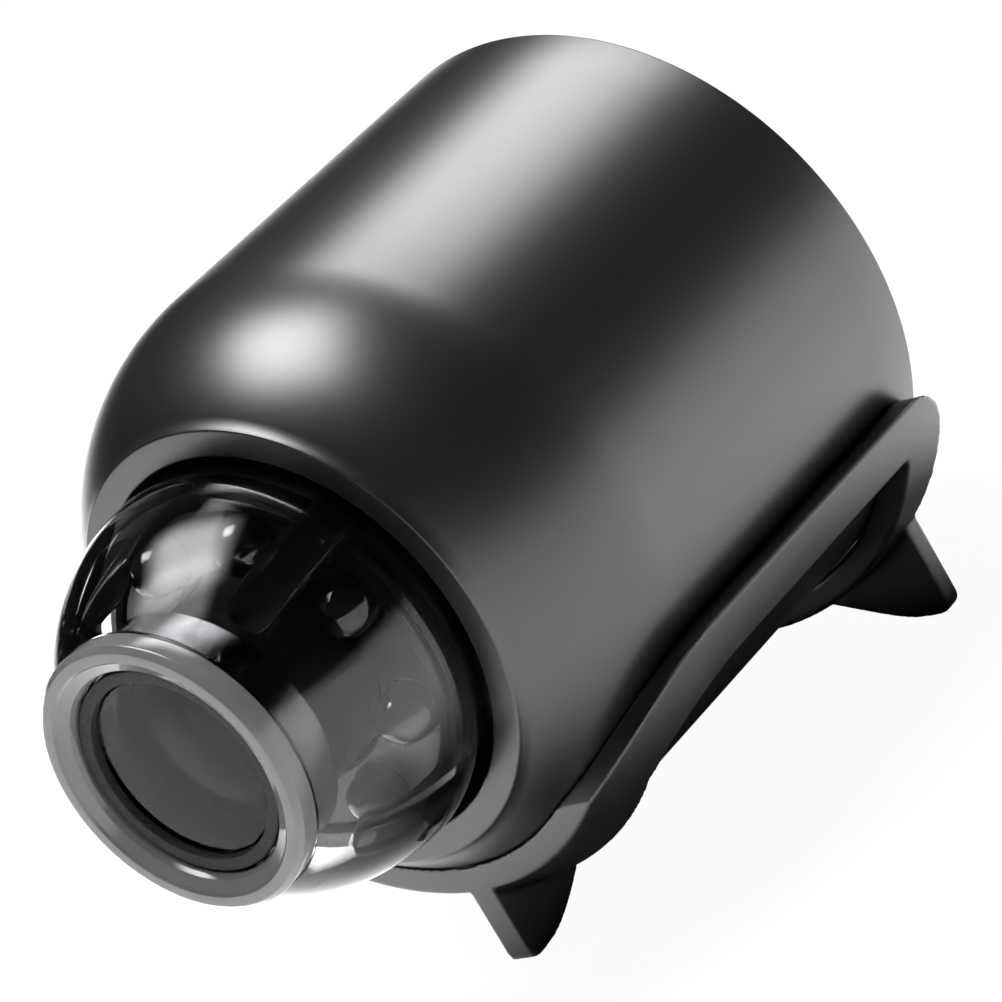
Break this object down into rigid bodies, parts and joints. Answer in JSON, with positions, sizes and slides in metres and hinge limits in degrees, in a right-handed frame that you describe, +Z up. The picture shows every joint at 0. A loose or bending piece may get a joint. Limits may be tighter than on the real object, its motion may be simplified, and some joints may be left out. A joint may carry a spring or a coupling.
{
  "type": "mini dash camera",
  "caption": "Small round dash camera with a clear lens dome, lying in an open plastic cradle that stands on three fins.",
  "frame": {"origin": "on the ground, below the middle of the object's box", "axes": "+Z up; the lens looks along -Y, along the camera's axis; +X to the lens's left"},
  "size_m": [0.034, 0.044, 0.0378],
  "materials": {
    "housing_plastic": "fine satin grain, black",
    "cradle_plastic": "fine satin grain, black",
    "cover_plastic": "fine matte grain, black",
    "inner_plastic": "matte black",
    "button_plastic": "satin dark grey",
    "card_plastic": "matte black",
    "dome_clear": "polished clear",
    "ring_clear": "polished, smoky",
    "lens_glass": "coated lens glass",
    "filter_glass": "coated",
    "led_clear": "clear epoxy",
    "light_pipe": "frosted clear",
    "lens_metal": "black anodised, satin",
    "seal_rubber": "matte",
    "steel": "plated",
    "brass": "plain",
    "circuit_board": "solder mask green",
    "black_board": "solder mask black",
    "chip": "moulded",
    "battery_foil": "laminated foil",
    "ribbon_film": "amber film"
  },
  "bodies": {
    "stand": {"cradle": "cradle_plastic"},
    "camera": {"main_housing": "housing_plastic", "rear_cover": "cover_plastic", "rear_cover_screw_1": "steel", "rear_cover_screw_2": "steel", "rear_cover_screw_3": "steel", "mode_switch": "steel", "reset_switch": "steel", "power_switch": "steel", "status_light_pipe": "light_pipe", "status_led": "light_pipe", "microphone": "steel", "usb_port": "steel", "card_socket": "steel", "main_board": "circuit_board", "processor": "chip", "wifi_module": "steel", "battery": "battery_foil", "board_spacer_1": "brass", "board_spacer_2": "brass", "board_spacer_3": "brass", "sensor_board": "black_board", "board_ribbon": "ribbon_film", "wifi_antenna": "ribbon_film", "image_sensor": "chip", "lens_holder": "inner_plastic", "infrared_filter": "filter_glass", "lens_barrel": "lens_metal", "lens_ring": "ring_clear", "lens_bezel": "inner_plastic", "front_lens": "lens_glass", "middle_lens": "lens_glass", "rear_lens": "lens_glass", "led_plate": "inner_plastic", "led_board": "black_board", "infrared_led_1": "led_clear", "infrared_led_2": "led_clear", "infrared_led_3": "led_clear", "infrared_led_4": "led_clear", "infrared_led_5": "led_clear", "infrared_led_6": "led_clear", "infrared_led_7": "led_clear", "infrared_led_8": "led_clear", "clear_dome": "dome_clear", "dome_seal": "seal_rubber", "dome_retainer": "inner_plastic"},
    "mode_key": {"mode_button": "button_plastic"},
    "reset_key": {"reset_button": "button_plastic"},
    "power_knob": {"power_slider": "button_plastic"},
    "card": {"memory_card": "card_plastic"}
  },
  "joints": [
    {"name": "camera_roll", "type": "hinge", "parent": "stand", "child": "camera", "pos_m": [0, 0, 0.0208], "axis": [0, -1, 0], "continuous": true},
    {"name": "mode_press", "type": "slide", "parent": "camera", "child": "mode_key", "axis": [0, -1, 0], "range_m": [0, 0.00035], "stiffness_N_per_m": 400, "springref_m": -0.0012},
    {"name": "reset_press", "type": "slide", "parent": "camera", "child": "reset_key", "axis": [0, -1, 0], "range_m": [0, 0.00035], "stiffness_N_per_m": 400, "springref_m": -0.0012},
    {"name": "power_slide", "type": "slide", "parent": "camera", "child": "power_knob", "axis": [1, 0, 0], "range_m": [0, 0.002]},
    {"name": "card_slide", "type": "slide", "parent": "camera", "child": "card", "axis": [0, 1, 0], "range_m": [0, 0.015]}
  ]
}
